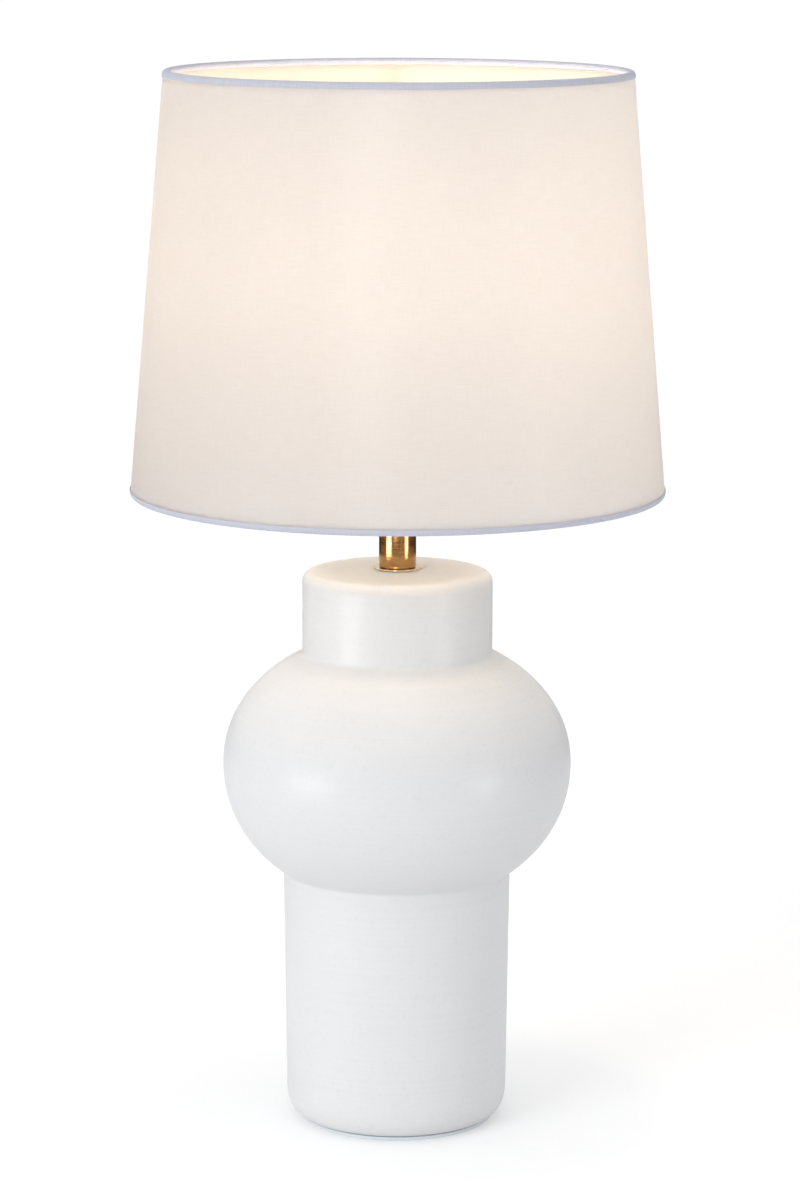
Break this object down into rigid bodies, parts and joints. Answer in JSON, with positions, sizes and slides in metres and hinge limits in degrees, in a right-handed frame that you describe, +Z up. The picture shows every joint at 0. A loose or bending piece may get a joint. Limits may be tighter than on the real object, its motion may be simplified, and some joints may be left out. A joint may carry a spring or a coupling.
{
  "type": "table lamp",
  "caption": "Table lamp with a stacked collar, belly and pedestal ceramic base, a short brass neck, a screw lampholder with bulb and a tapered fabric drum shade.",
  "frame": {"origin": "centre of the underside of the foot pad, on the lamp's axis", "axes": "+Z up along the lamp's axis, -Y the front, +Y the side of the cable outlet"},
  "size_m": [0.23, 0.23, 0.4575],
  "materials": {
    "ceramic": "matte to satin off-white glaze with very fine horizontal throwing lines",
    "pad_foam": "pale grey-blue closed-cell foam, dull",
    "bushing_plastic": "off-white flexible plastic",
    "rubber": "black, dull",
    "zinc_steel": "zinc plated",
    "neck_brass": "aged brass, finely brushed along the tube",
    "holder_plastic": "white thermoplastic, satin",
    "porcelain": "white, glazed",
    "contact_brass": "bright brass, pressed",
    "nickel": "nickel plated, rolled thread",
    "black_glass": "black insulating glass, glossy",
    "bulb_plastic": "white plastic, satin",
    "opal_diffuser": "opal, lit warm white",
    "circuit_board": "white solder mask",
    "shade_fabric": "cream plain-weave cloth, lit from behind",
    "shade_liner": "white translucent sheet, satin",
    "painted_wire": "white powder coat",
    "shade_tape": "cream cloth tape rolled over the rim wire"
  },
  "bodies": {
    "stand": {"ceramic_base": "ceramic", "foot_pad": "pad_foam", "cable_bushing": "bushing_plastic", "rubber_washer": "rubber", "clamp_washer": "zinc_steel", "lock_washer": "zinc_steel", "hex_nut": "zinc_steel", "threaded_tube": "zinc_steel", "neck_washer": "neck_brass", "cover_tube": "neck_brass", "holder_cap": "holder_plastic", "set_screw": "zinc_steel", "holder_skirt": "holder_plastic", "terminal_insulator": "porcelain", "live_terminal": "contact_brass", "live_terminal_screw": "zinc_steel", "neutral_terminal": "contact_brass", "neutral_terminal_screw": "zinc_steel", "screw_shell": "contact_brass", "centre_contact": "contact_brass"},
    "shade": {"shade_fabric": "shade_fabric", "shade_liner": "shade_liner", "shade_top_wire": "painted_wire", "shade_bottom_wire": "painted_wire", "shade_top_binding": "shade_tape", "shade_bottom_binding": "shade_tape", "shade_carrier": "painted_wire"},
    "clamp_ring": {"clamp_ring": "holder_plastic"},
    "bulb_tip": {"bulb_contact": "nickel"},
    "bulb": {"bulb_insulator": "black_glass", "bulb_cap": "nickel", "bulb_housing": "bulb_plastic", "bulb_diffuser": "opal_diffuser", "led_board": "circuit_board", "driver_board": "circuit_board"}
  },
  "joints": [
    {"name": "shade_turn", "type": "hinge", "parent": "stand", "child": "shade", "pos_m": [0, 0, 0.3], "axis": [0, 0, 1], "continuous": true},
    {"name": "clamp_ring_turn", "type": "hinge", "parent": "stand", "child": "clamp_ring", "pos_m": [0, 0, 0.305], "axis": [0, 0, 1], "range_deg": [0, 360]},
    {"name": "bulb_rise", "type": "slide", "parent": "stand", "child": "bulb_tip", "axis": [0, 0, 1], "range_m": [0, 0.01825]},
    {"name": "bulb_turn", "type": "hinge", "parent": "bulb_tip", "child": "bulb", "pos_m": [0, 0, 0.31], "axis": [0, 0, 1], "range_deg": [0, 1800]}
  ],
  "couplings": [
    {"joint": "bulb_rise", "follows": "bulb_turn", "m_per_rad": 0.0005776}
  ]
}
